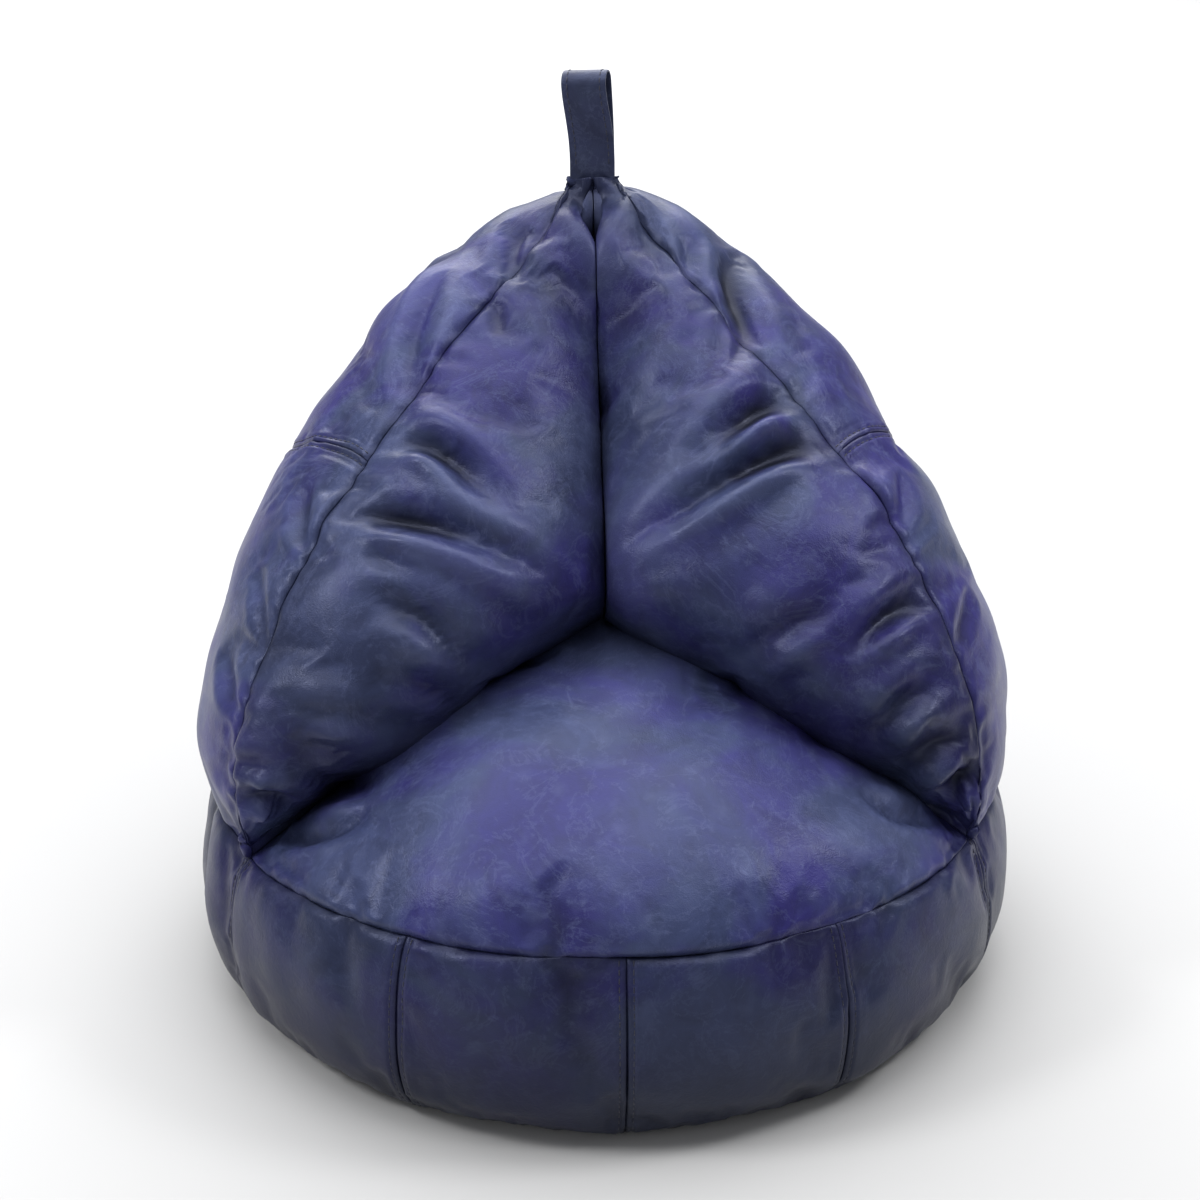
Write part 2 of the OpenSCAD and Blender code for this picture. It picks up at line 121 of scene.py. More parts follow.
# the cover's driving sizes; levels run from 0 at the front corner to 1 at the apex
bag = {
    "ringRadius": .388, "sideBulge": .012, "bulgeSpan": 61, "frontLift": .014, "cornerAngle": 64,
    "bandHeight": (coilLow[2] + coilHigh[2]) / 2,
    "baseRadius": baseHigh[0] - .001, "baseEdge": baseHigh[2],
    "apexBack": (strapLow[1] + strapHigh[1]) / 2, "apexHeight": strapLow[2] - .004, "apexHalf": .024,
    "foldHeight": .338, "foldBack": .08,
    "foldLevel": .45, "splitOuter": .56, "splitInner": .425,
    "zipFrom": 129, "zipOpen": 131.667, "zipGap": .005,
}
apex = np.array([0, bag["apexBack"], bag["apexHeight"]])
apexSide = apex + np.array([bag["apexHalf"], 0, 0])
backCorner = np.array([0, bag["foldBack"], bag["foldHeight"]])
ringBack = bag["ringRadius"] + bag["sideBulge"]
backSpan = 180 - bag["cornerAngle"]
mirror = np.array([-1., 1, 1])


def cubic(a, b, c, d, t):
    # a cubic Bezier curve from a to d, shaped by b and c
    t = np.asarray(t, float)[..., None]
    return (1 - t) ** 3 * a + 3 * t * (1 - t) ** 2 * b + 3 * t * t * (1 - t) * c + t ** 3 * d


def unit(a):
    return a / np.maximum(np.linalg.norm(a, axis=-1, keepdims=True), 1e-9)


def ease(t):
    # 0 to 1 with flat ends: 3t^2 - 2t^3
    t = np.clip(t, 0, 1)
    return t * t * (3 - 2 * t)


def track(v, keys, values):
    # vectors that change in straight steps between keys
    values = np.array(values, float)
    return np.stack([np.interp(v, keys, values[:, k]) for k in range(3)], -1)


def ring(az, side=0):
    # the seam on top of the band, azimuth from the front; side parts it for the zip
    az = np.asarray(az, float)
    size, a = np.abs(az), np.radians(az)
    past = np.clip((size - bag["cornerAngle"]) / bag["bulgeSpan"], 0, 1)
    r = bag["ringRadius"] + bag["sideBulge"] * np.sin(past * np.pi / 2)
    z = bag["bandHeight"] + bag["frontLift"] * np.cos(np.clip(size / bag["cornerAngle"], 0, 1) * np.pi / 2)
    gap = bag["zipGap"] * np.clip((size - bag["zipFrom"]) / (bag["zipOpen"] - bag["zipFrom"]), 0, 1)
    return np.stack([r * np.sin(a), -r * np.cos(a), z + side * gap], -1)


corner = ring(bag["cornerAngle"])
seatLead, foldLead = corner + np.array([-.110, .070, .060]), backCorner + np.array([.090, -.060, -.020])


def edgeSeam(v):
    # quartic Bezier curve from the corner up to the side of the apex
    v = np.asarray(v, float)[..., None]
    return ((1 - v) ** 4 * corner + 4 * v * (1 - v) ** 3 * np.array([.387, -.215, .290])
            + 6 * v ** 2 * (1 - v) ** 2 * np.array([.328, -.095, .544])
            + 4 * v ** 3 * (1 - v) * np.array([.060, .110, .645]) + v ** 4 * apexSide)


def innerSeam(v):
    # the crease behind the seat, then the centre crease up to the apex
    v = np.asarray(v, float)
    low = cubic(corner, seatLead, foldLead, backCorner, np.clip(v / bag["foldLevel"], 0, 1))
    high = cubic(backCorner, backCorner + np.array([0, .045, .150]), apex + np.array([0, -.040, -.150]),
                 apex, np.clip((v - bag["foldLevel"]) / (1 - bag["foldLevel"]), 0, 1))
    return np.where((v < bag["foldLevel"])[..., None], low, high)


def spine(v):
    # a cubic up the centre of the back, from the ring to the apex
    return cubic(np.array([0, ringBack, bag["bandHeight"]]), np.array([0, ringBack + .055, .370]),
                 apex + np.array([0, .125, -.102]), apex, v)


def bolsterSurface(u, v):
    # a cubic across from the inner seam to the edge seam at every level v
    a, b = innerSeam(v), edgeSeam(v)
    size = np.linalg.norm(b - a, axis=-1, keepdims=True)
    leave = unit(track(v, [0, .2, .45, .7, 1],
                       [(-.2, -.5, .6), (-.3, -.6, .65), (-.15, -.95, .4), (.08, -1, .15), (.3, -1, .3)]))
    arrive = unit(track(v, [0, .3, .6, 1], [(.6, .3, -.5), (.8, .45, -.1), (.8, .55, -.1), (.8, .3, .1)]))
    return cubic(a, a + leave * size * .55, b - arrive * size * .5, b, u)


def backSurface(u, v):
    # a cubic round from the edge seam to the spine, eased onto the ring at its foot
    a, b = edgeSeam(v), spine(v)
    size = np.linalg.norm(b - a, axis=-1, keepdims=True)
    fuller = np.interp(v, [0, .5, .75, .88, .96, 1], [0, .015, .055, .042, .006, 0])[..., None]
    leave = unit(track(v, [0, .3, .6, 1], [(.55, .85, .05), (.45, .9, .05), (.6, .8, .25), (.8, .5, .3)]))
    loft = cubic(a, a + leave * (size * .38 + fuller), b + np.array([1., 0, 0]) * (size * .4 + fuller), b, u)
    az = bag["cornerAngle"] + u * backSpan
    a0, b0 = corner, spine(0.)
    size0 = np.linalg.norm(b0 - a0)
    foot = cubic(a0, a0 + unit(np.array([.55, .85, .05])) * size0 * .38,
                 b0 + np.array([1., 0, 0]) * size0 * .4, b0, u)
    rest = 1 - np.asarray(v)[..., None]
    return loft + rest ** 3 * (ring(az) - foot) + rest ** 8 * (ring(az, 1) - ring(az))


def seatSurface(az, v):
    # a fan of cubics from the front ring to the back corner
    a = az / bag["cornerAngle"]
    front, share = ring(az), (1 - np.abs(a) ** 2.6)[..., None]
    side = np.where(a[..., None] < 0, mirror, 1.)
    rise = np.stack([front[..., 0] * .95, -.372 + (front[..., 1] + bag["ringRadius"]) * .9,
                     np.full(a.shape, .290)], -1)
    crest = np.stack([front[..., 0] * .35, np.full(a.shape, -.070), np.full(a.shape, .372)], -1)
    return cubic(front, share * rise + (1 - share) * seatLead * side,
                 share * crest + (1 - share) * foldLead * side, backCorner, v)


def bandSurface(az, t):
    # a bulging cubic from the ring (t 0) down to the base (t 1)
    a = np.radians(az)
    out = np.stack([np.sin(a), -np.cos(a), np.zeros(a.shape)], -1)
    top, low = ring(az, -1), bag["baseRadius"] * out + np.array([0, 0, bag["baseEdge"]])
    return cubic(top, top + out * .030 + np.array([0, 0, -.055]),
                 low + out * .054 + np.array([0, 0, .012]), low, t)


def between(marks, counts):
    # grid lines that run evenly from mark to mark
    parts = [np.linspace(a, b, n, endpoint=False) for a, b, n in zip(marks, marks[1:], counts)]
    return np.concatenate([*parts, marks[-1:]])


# the net's lines: levels below and above the cross seam, and azimuths of the seat and of the band's seams
net = {"low": between([0, .45, .56], [44, 11]), "high": between([.56, 1], [44]), "across": 36,
       "seatRows": 44, "seat": between([-64, -30, 0, 30, 64], [22, 20, 20, 22]), "seatSteps": [20, 22],
       "back": [64, 93, 122, 151, 180], "backSteps": 20, "down": 22, "bands": 12}


def makeNet(n):
    # every cover panel as a grid of points, rows upward and columns to the right seen from outside
    grids = {}
    rows = np.concatenate([n["low"], n["high"][1:]])
    u, v = np.meshgrid(np.linspace(0, 1, n["across"] + 1), rows)
    grids["bolster_panel_right"] = bolsterSurface(u, v)
    azBack = between(n["back"], [n["backSteps"]] * 4)
    u, v = np.meshgrid((azBack - bag["cornerAngle"]) / backSpan, n["low"])
    split = bag["splitOuter"] + (bag["splitInner"] - bag["splitOuter"]) * ease(2 * u)
    grids["lower_back_panel_right"] = backSurface(u, v / bag["splitOuter"] * split)
    u, v = np.meshgrid((azBack - bag["cornerAngle"]) / backSpan, n["high"])
    split = bag["splitOuter"] + (bag["splitInner"] - bag["splitOuter"]) * ease(2 * u)
    grids["upper_back_panel_right"] = backSurface(u, 1 - (1 - v) / (1 - bag["splitOuter"]) * (1 - split))
    az, v = np.meshgrid(n["seat"], n["low"][:n["seatRows"] + 1] / bag["foldLevel"])
    grids["seat_panel"] = seatSurface(az, v)
    marks = [0, 30, *n["back"]]
    steps = n["seatSteps"] + [n["backSteps"]] * 4
    seams = [between([a, b], [count]) for a, b, count in zip(marks, marks[1:], steps)]
    for k, azs in enumerate(seams):
        az, t = np.meshgrid(azs, np.linspace(1, 0, n["down"] + 1))
        grids[f"band_panel_{k + 1}"] = bandSurface(az, t)
    for name in list(grids):
        if name.endswith("_right"):
            grids[name[:-5] + "left"] = grids[name][:, ::-1] * mirror
        elif name.startswith("band"):
            grids[f"band_panel_{n['bands'] + 1 - int(name[11:])}"] = grids[name][:, ::-1] * mirror
    return grids


def distinct(points, perMetre):
    # points that coincide once rounded: the first of each kind, and every point's kind
    whole = np.round(points * perMetre).astype(np.int64)
    _, first, index = np.unique(whole, axis=0, return_index=True, return_inverse=True)
    return first, index.reshape(-1)


def weld(grids):
    # points that coincide share one number; gives points, triangles and each grid's numbers
    flat = np.concatenate([g.reshape(-1, 3) for g in grids.values()])
    first, index = distinct(flat, 1e5)
    maps, at = {}, 0
    for name, g in grids.items():
        maps[name] = index[at:at + g.shape[0] * g.shape[1]].reshape(g.shape[:2])
        at += g.shape[0] * g.shape[1]
    return flat[first], np.concatenate([triangles(m) for m in maps.values()]), maps


def threeCornered(t):
    # leaves out the triangles that have a corner twice
    return t[(t[:, 0] != t[:, 1]) & (t[:, 1] != t[:, 2]) & (t[:, 2] != t[:, 0])]


def triangles(m):
    # each cell of a grid of numbers as two triangles that face outward
    a, b, c, d = m[:-1, :-1].ravel(), m[:-1, 1:].ravel(), m[1:, 1:].ravel(), m[1:, :-1].ravel()
    return threeCornered(np.concatenate([np.stack([a, b, c], 1), np.stack([a, c, d], 1)]))


def pointNormals(points, faces):
    # the faces' normals, weighted by area, added up at each point
    across = np.cross(points[faces[:, 1]] - points[faces[:, 0]], points[faces[:, 2]] - points[faces[:, 0]])
    total = np.zeros_like(points)
    for k in range(3):
        np.add.at(total, faces[:, k], across)
    return unit(total)


grids = makeNet(net)
points, faces, maps = weld(grids)
smooth = points.copy()
normals = pointNormals(points, faces)
print("cover net:", len(points), "points,", len(faces), "triangles")

# folds pressed into the cover before it settles: panel, path as (across, up), width, depth, lip; the cloth is
# thrown up on the path's left where the lip is positive, and on its right where it is negative
folds = [
    ("bolster_panel_right", [(.97, .63), (.84, .625), (.70, .60), (.56, .56)], .015, .027, 1),
    ("bolster_panel_right", [(.96, .575), (.78, .57), (.58, .535), (.36, .485)], .016, .032, 1),
    ("bolster_panel_right", [(.99, .385), (.89, .37), (.79, .345), (.68, .31)], .013, .019, 1),
    ("bolster_panel_right", [(.76, .375), (.66, .365), (.56, .34), (.46, .32)], .016, .022, .9),
    ("bolster_panel_right", [(.88, .27), (.77, .245), (.67, .21), (.56, .18)], .014, .021, .9),
    ("bolster_panel_right", [(.93, .185), (.80, .175), (.66, .15), (.5, .13)], .016, .020, .7),
    ("bolster_panel_right", [(.96, .12), (.86, .115), (.70, .085), (.55, .065)], .014, .021, .9),
    ("bolster_panel_right", [(.97, .92), (.90, .86), (.84, .80)], .013, .007, .5),
    ("bolster_panel_right", [(.20, .995), (.17, .93), (.13, .85), (.10, .76)], .017, .019, .9),
    ("bolster_panel_left", [(.05, .585), (.15, .585), (.27, .56), (.38, .51)], .014, .026, -1),
    ("bolster_panel_left", [(.05, .495), (.22, .495), (.40, .47), (.58, .435)], .016, .028, -1),
    ("bolster_panel_left", [(.10, .455), (.18, .445), (.27, .425)], .011, .011, -.7),
    ("bolster_panel_left", [(.18, .40), (.30, .385), (.42, .345), (.56, .29)], .016, .024, -1),
    ("bolster_panel_left", [(.33, .275), (.46, .28), (.58, .255), (.68, .225)], .015, .018, -.9),
    ("bolster_panel_left", [(.18, .235), (.28, .24), (.40, .225)], .012, .015, -.8),
    ("bolster_panel_left", [(.22, .185), (.33, .19), (.46, .17), (.60, .15)], .012, .017, -.8),
    ("bolster_panel_left", [(.03, .165), (.12, .175), (.24, .155)], .011, .014, -.7),
    ("bolster_panel_left", [(.02, .115), (.16, .12), (.34, .10), (.50, .07)], .013, .020, -.9),
    ("bolster_panel_left", [(.02, .76), (.08, .76), (.14, .73)], .012, .009, -.5),
    ("bolster_panel_left", [(.80, .995), (.82, .93), (.86, .85), (.89, .76)], .017, .021, -1),
    ("upper_back_panel_left", [(.78, .86), (.86, .76), (.93, .68), (.99, .62)], .016, .014, -.6),
    ("upper_back_panel_left", [(.91, .90), (.95, .85), (.99, .81)], .013, .008, -.4),
    ("upper_back_panel_left", [(.55, .66), (.62, .78), (.72, .88)], .022, .008, .3),
    ("upper_back_panel_right", [(.01, .69), (.05, .735), (.12, .79), (.22, .84)], .016, .014, .6),
    ("upper_back_panel_right", [(.01, .80), (.05, .83), (.10, .86)], .012, .007, .4),
    ("upper_back_panel_right", [(.58, .62), (.66, .74), (.78, .84)], .022, .008, .3),
    ("lower_back_panel_left", [(.99, .44), (.95, .47), (.91, .51)], .013, .010, .5),
    ("lower_back_panel_left", [(.99, .34), (.95, .37), (.90, .41)], .012, .009, .4),
    ("lower_back_panel_left", [(.99, .24), (.94, .27), (.88, .30)], .012, .009, .4),
    ("lower_back_panel_left", [(.55, .12), (.47, .25), (.44, .38)], .026, .008, .3),
    ("lower_back_panel_right", [(.01, .45), (.05, .48), (.10, .52)], .012, .009, -.4),
    ("lower_back_panel_right", [(.01, .31), (.06, .33), (.12, .37)], .012, .008, -.4),
    ("lower_back_panel_right", [(.50, .10), (.56, .22), (.60, .34)], .026, .008, .3),
    ("seat_panel", [(.02, .09), (.07, .12), (.13, .19), (.17, .28)], .012, .013, -.7),
    ("seat_panel", [(.98, .09), (.93, .12), (.87, .19), (.84, .28)], .012, .011, .7),
]


def levelShare(name, v):
    # a level of the whole cover as a share of the panel's own rows
    if name.startswith("lower"):
        lines = net["low"]
    elif name.startswith("upper"):
        lines = net["high"]
    elif name.startswith("bolster"):
        lines = np.concatenate([net["low"], net["high"][1:]])
    else:
        return v
    return np.interp(v, lines, np.linspace(0, 1, len(lines)))


def resample(grid, at):
    # Catmull-Rom curves through the rows of a grid, read at fractional rows
    n = len(grid)
    k = np.clip(np.floor(at).astype(int), 0, n - 2)
    f = (at - k).reshape(-1, *[1] * (grid.ndim - 1))
    p1, p2 = grid[k], grid[k + 1]
    p0 = np.where((k > 0).reshape(f.shape), grid[np.maximum(k - 1, 0)], 2 * p1 - p2)
    p3 = np.where((k < n - 2).reshape(f.shape), grid[np.minimum(k + 2, n - 1)], 2 * p2 - p1)
    return .5 * (2 * p1 + (p2 - p0) * f + (2 * p0 - 5 * p1 + 4 * p2 - p3) * f ** 2
                 + (3 * p1 - p0 - 3 * p2 + p3) * f ** 3)


def pointOn(grid, row, col):
    # the grid read at one fractional row and column for each pair
    k, i = np.clip(row.astype(int), 0, grid.shape[0] - 2), np.clip(col.astype(int), 0, grid.shape[1] - 2)
    f, g = (row - k)[:, None], (col - i)[:, None]
    return ((1 - f) * ((1 - g) * grid[k, i] + g * grid[k, i + 1])
            + f * ((1 - g) * grid[k + 1, i] + g * grid[k + 1, i + 1]))


# how far round its middle a fold is felt, then its lip and swell: height, distance and spread in fold widths
pressing = {"reach": .32, "lip": (.6, 1.45, .8), "swell": (.4, 1.9, 1.3), "tailCut": .02, "taper": .8}


def pressFolds(points, normals, folds, s):
    # d widths across its path, a fold is a valley -e^-d^2, a sharp lip beyond it and a soft swell before it,
    # and its depth follows sin(pi t)^taper along the path
    lipHigh, lipAt, lipWide = s["lip"]
    swellHigh, swellAt, swellWide = s["swell"]
    push = np.zeros(len(points))
    for name, path, width, depth, lip in folds:
        grid = grids[name]
        u, v = np.array(path).T
        t = np.linspace(0, len(path) - 1, 4 * len(path) + 1)
        route = resample(np.stack([u, levelShare(name, v)], 1), t)
        line = pointOn(grid, route[:, 1] * (grid.shape[0] - 1), route[:, 0] * (grid.shape[1] - 1))
        a, b = line[:-1], line[1:]
        near = np.linalg.norm(points - line.mean(0), axis=1) < s["reach"]
        p = points[near]
        ab = b - a
        share = np.clip(((p[:, None] - a) * ab).sum(2) / (ab ** 2).sum(1), 0, 1)
        away = p[:, None] - a - share[..., None] * ab
        d = np.linalg.norm(away, axis=2)
        k = d.argmin(1)
        pick = np.arange(len(p)), k
        along = np.clip((k + share[pick]) / len(a), s["tailCut"], 1 - s["tailCut"])
        side = (np.cross(ab[k], away[pick]) * normals[near]).sum(1)
        side = side / np.maximum(np.linalg.norm(ab[k], axis=1) * d[pick], 1e-9)
        d = d[pick] * np.where(side * lip < 0, -1, 1) / width
        fade = np.sin(np.pi * along) ** s["taper"]
        thrown = (lipHigh * abs(lip) * np.exp(-((d - lipAt) / lipWide) ** 2)
                  + swellHigh * np.exp(-((d + swellAt) / swellWide) ** 2))
        push[near] += depth * fade * (fade * thrown - np.exp(-d ** 2))
    return points + normals * push[:, None]


def lumps(points, seed, size, height):
    # a few slow sine waves through space, added together
    rng = np.random.default_rng(seed)
    waves = unit(rng.normal(size=(9, 3))) * (2 * np.pi / size * rng.uniform(.7, 1.4, (9, 1)))
    return height / 3 * np.sin(points @ waves.T + rng.uniform(0, 6.28, 9)).sum(1)


# a negative stretch is cloth cut larger than its net; cap is the furthest that a point may move
settling = {"frames": 20, "pressure": 4, "stretch": -.014, "cap": .016, "capPower": .7,
            "backHold": .6, "seamHold": .8}


def heldPoints():
    # how firmly the seams keep their place while the cloth between them settles
    held = np.zeros(len(points))
    for name, m in maps.items():
        strong = settling["backHold"] if "back" in name else settling["seamHold"]
        for edge in (m[0], m[-1], m[:, 0], m[:, -1]):
            held[edge] = np.maximum(held[edge], strong)
        if name.startswith("band"):
            held[m[0]] = 1
    held[maps["seat_panel"][-1]] = 1
    held[maps["upper_back_panel_right"][-1]] = 1
    held[maps["upper_back_panel_left"][-1]] = 1
    return held


def settle(points, faces, held, s):
    # the cover as one cloth, cut a little large and blown up from inside
    mesh = bpy.data.meshes.new("settling")
    mesh.from_pydata(points.tolist(), [], faces.tolist())
    body = bpy.data.objects.new("settling", mesh)
    scene.collection.objects.link(body)
    group = body.vertex_groups.new(name="held")
    for weight in np.unique(held[held > 0]):
        group.add(np.flatnonzero(held == weight).tolist(), float(weight), "REPLACE")
    cloth = body.modifiers.new("cloth", "CLOTH")
    c = cloth.settings
    c.quality, c.mass, c.air_damping = 6, .25, 2
    c.tension_stiffness = c.compression_stiffness = 20
    c.shear_stiffness, c.bending_stiffness = 8, .4
    c.use_pressure, c.uniform_pressure_force = True, s["pressure"]
    c.shrink_min = s["stretch"]
    c.effector_weights.gravity = 0
    c.vertex_group_mass = "held"
    cloth.collision_settings.use_collision = False
    cloth.point_cache.frame_start, cloth.point_cache.frame_end = 1, s["frames"]
    for step in range(1, s["frames"] + 1):
        scene.frame_set(step)
    out = np.empty(len(points) * 3)
    body.evaluated_get(bpy.context.evaluated_depsgraph_get()).data.vertices.foreach_get("co", out)
    scene.frame_set(1)
    bpy.data.objects.remove(body)
    move = out.reshape(-1, 3) - points
    size = np.linalg.norm(move, axis=1, keepdims=True)
    return points + move * np.minimum(1, s["cap"] / np.maximum(size, 1e-9)) ** s["capPower"]


# swell over the bolsters: it starts at one level and eases to a smaller share over another span of levels
belly = {"height": .023, "peak": .52, "foot": (.03, .16), "thin": (.45, .4), "thinBy": .6}


def fillBellies(points, normals):
    # the bolsters lean out over the seat: a swell sin(pi u^p), fullest near the inner seam
    swell = np.zeros(len(points))
    for side in ("left", "right"):
        m = maps[f"bolster_panel_{side}"]
        u, v = np.meshgrid(np.linspace(0, 1, m.shape[1]), np.linspace(0, 1, m.shape[0]))
        if side == "left":
            u = 1 - u
        swell[m] = (np.sin(np.pi * u ** belly["peak"]) * ease((v - belly["foot"][0]) / belly["foot"][1])
                    * (1 - belly["thinBy"] * ease((v - belly["thin"][0]) / belly["thin"][1])))
    return points + normals * belly["height"] * swell[:, None]


points = fillBellies(points, normals)
filled = points.copy()
points = pressFolds(points, pointNormals(points, faces), folds, pressing)
loose = {"waves": [(3, .17, .0035), (4, .09, .0015)], "atSeams": .35, "above": .03}
slack = sum(lumps(smooth, *wave) for wave in loose["waves"])[:, None]
share = np.clip(1 - heldPoints()[:, None] + loose["atSeams"], 0, 1)
points = points + normals * slack * share * (smooth[:, 2:] > loose["above"])
points = settle(points, faces, heldPoints(), settling)
print("cover settled")
# the centre seams stay on the centre and the foot seam stays where it rests
footSeam = .0025
points[:, 0] = np.where(np.abs(smooth[:, 0]) < 1e-6, 0, points[:, 0])
points[:, 2] = np.where(smooth[:, 2] < footSeam, smooth[:, 2], points[:, 2])
normals = pointNormals(points, faces)

# how a panel is finished: steps between net lines, more of them in the cells beside a seam
finish = {"steps": 2, "edgeSteps": 7, "edgeCells": 2, "thickness": .002, "stitchAt": .0065,
          "floorGap": .0003, "centreGap": .0004, "seamShade": .012}
# the kind of edge at a panel's bottom, right, top and left; right and left are the same kind
sewn = {"bolster": ("plain", "turned", "plain", "turned"),
        "seat": ("turned", "turned", "plain", "turned"),
        "lower": ("turned", "turned", "stitched", "turned"),
        "upper": ("stitched", "turned", "plain", "turned"),
        "band": ("turned", "stitched", "turned", "stitched")}


def fineSteps(n, s):
    # fractional places along a net line, closer together near its ends
    inner = range(s["edgeCells"], n - 1 - s["edgeCells"])
    return between(list(range(n)), [s["steps"] if i in inner else s["edgeSteps"] for i in range(n - 1)])


# a turned seam draws the cloth in and puckers it; a stitched one has a groove, a sunk row and a raised ply
turned = {"sink": .0038, "pull": .0045, "pucker": (11, .024, .0016), "puckerFrom": .004, "puckerTo": .020,
          "smoothApex": .14, "calmFrom": .026, "calmOver": .05}
stitched = {"groove": (.0014, .0013), "row": (.0012, .0018), "raised": .0009, "ply": .008}


def seamProfile(d, kind, edge):
    # how far the cloth rises at distance d from a sewn edge: sums of e^-d/w and e^-(d/w)^2
    if kind == "turned":
        s, fromApex = turned, np.linalg.norm(edge - apex, axis=-1)
        pucker = lumps(edge.reshape(-1, 3), *s["pucker"]).reshape(d.shape) * ease(fromApex / s["smoothApex"])
        drawn = -s["sink"] * np.exp(-d / s["pull"]) * ease((fromApex - s["calmFrom"]) / s["calmOver"])
        return drawn + pucker * np.exp(-d / s["puckerTo"]) * (1 - np.exp(-d / s["puckerFrom"]))
    if kind == "stitched":
        s, fromRow = stitched, d - finish["stitchAt"]
        groove = -s["groove"][0] * np.exp(-(d / s["groove"][1]) ** 2)
        row = -s["row"][0] * np.exp(-(fromRow / s["row"][1]) ** 2)
        return groove + row + s["raised"] * (1 - ease(fromRow / s["ply"]))
    return np.zeros(d.shape)


def finePanel(name):
    # the settled net read finely, with its edges drawn in at the seams
    m = maps[name]
    rows, cols = fineSteps(m.shape[0], finish), fineSteps(m.shape[1], finish)

    def fine(values):
        return np.swapaxes(resample(np.swapaxes(resample(values, rows), 0, 1), cols), 0, 1)

    p, n = fine(points[m]), unit(fine(normals[m]))
    press = fine((((points - filled) * normals).sum(1))[m][..., None])[..., 0]
    stepCol = np.linalg.norm(np.diff(p, axis=1), axis=2)
    stepRow = np.linalg.norm(np.diff(p, axis=0), axis=2)
    fromLeft = np.pad(np.cumsum(stepCol, 1), ((0, 0), (1, 0)))
    fromBottom = np.pad(np.cumsum(stepRow, 0), ((1, 0), (0, 0)))
    reach = {"left": fromLeft, "right": fromLeft[:, -1:] - fromLeft,
             "bottom": fromBottom, "top": fromBottom[-1:] - fromBottom}
    edges = {"left": p[:, :1], "right": p[:, -1:], "bottom": p[:1], "top": p[-1:]}
    kinds = dict(zip(("bottom", "right", "top", "left"), sewn[name.split("_")[0]]))
    sink = np.zeros(p.shape[:2])
    for side, kind in kinds.items():
        edge = np.broadcast_to(edges[side], p.shape)
        depth = seamProfile(reach[side], kind, edge)
        sink = np.where(np.abs(depth) > np.abs(sink), depth, sink) if kind == "turned" else sink + depth
    p = p + n * sink[..., None]
    p[..., 2] = np.maximum(p[..., 2], finish["floorGap"])
    if name.startswith("bolster"):
        way = 1 if name.endswith("right") else -1
        p[..., 0] = way * np.maximum(way * p[..., 0], finish["centreGap"])
    nearest = np.minimum.reduce([reach[s] for s, k in kinds.items() if k != "plain"])
    return p, n, press, nearest, reach


def newMesh(name, verts, polys):
    # a smooth mesh object at the origin
    mesh = bpy.data.meshes.new(name)
    mesh.from_pydata(np.asarray(verts).reshape(-1, 3).tolist(), [], [list(f) for f in polys])
    mesh.validate()
    mesh.polygons.foreach_set("use_smooth", [True] * len(mesh.polygons))
    piece = bpy.data.objects.new(name, mesh)
    scene.collection.objects.link(piece)
    return piece


def addAttribute(piece, name, values):
    # one number for each point, for the materials to read
    layer = piece.data.attributes.new(name, "FLOAT", "POINT")
    layer.data.foreach_set("value", np.asarray(values, np.float32).ravel())


# painted shade: how dark the band is painted at its top and how much more at its foot; how far the painted
# shade of a crease reaches beside it
shadePaintSizes = {"band": .50, "foot": .42, "bandFade": .16, "besideBolster": .165, "beside": .045, "power": 1.6,
        "cornerFade": .16, "lighterFrom": .42, "lighterOver": .2, "lighterBy": .5, "creasePoints": 80}


def creaseGap(p, count):
    # the distance to the nearest of the points along both creases
    crease = innerSeam(np.linspace(0, 1, count))
    return np.min([np.linalg.norm(p - c, axis=-1) for c in np.concatenate([crease, crease * mirror])], axis=0)


def paintedShadeShare(name, p, s):
    # painted shade, darkest low on the band and deep in the creases between the cushions: e^-(gap/w)^power
    if name.startswith("band"):
        return s["band"] + s["foot"] * ease((bag["bandHeight"] - p[..., 2]) / s["bandFade"])
    wide = s["besideBolster"] if name.startswith("bolster") else s["beside"]
    fromCorner = np.minimum(*[np.linalg.norm(p - c, axis=-1) for c in (corner, corner * mirror)])
    lighter = 1 - s["lighterBy"] * ease((p[..., 2] - s["lighterFrom"]) / s["lighterOver"])
    gap = creaseGap(p, s["creasePoints"])
    return np.exp(-(gap / wide) ** s["power"]) * ease(fromCorner / s["cornerFade"]) * lighter


def coverPanel(name):
    # one cover panel as its own sheet of leather; gives the piece, and what its stitch rows need
    p, n, press, nearest, reach = finePanel(name)
    lone, index = distinct(p.reshape(-1, 3), 1e6)
    words = name.replace("_panel", "").split("_")
    title = words[0] + "".join(w.title() for w in words[1:]) + "Cover"
    piece = newMesh(title, p.reshape(-1, 3)[lone], triangles(index.reshape(p.shape[:2])))
    # these attributes feed painted shade and painted highlight in the leather: fold depth, nearness to a sewn
    # edge, and the band and crease shade
    addAttribute(piece, "press", press.ravel()[lone])
    addAttribute(piece, "seam", np.exp(-nearest / finish["seamShade"]).ravel()[lone])
    # painted shade: darker low on the band and beside the creases between the cushions
    addAttribute(piece, "worn", paintedShadeShare(name, p, shadePaintSizes).ravel()[lone])
    wall = piece.modifiers.new("wall", "SOLIDIFY")
    wall.thickness, wall.offset = finish["thickness"], -1
    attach(piece, "bag")
    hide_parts(name)
    return piece, (p, n, reach)


def shaderNodes(name):
    # a new material with its node tree, its shader and its Object coordinates
    paint = bpy.data.materials.new(name)
    paint.use_nodes = True
    tree = paint.node_tree
    return paint, tree, tree.nodes["Principled BSDF"], tree.nodes.new("ShaderNodeTexCoord").outputs["Object"]


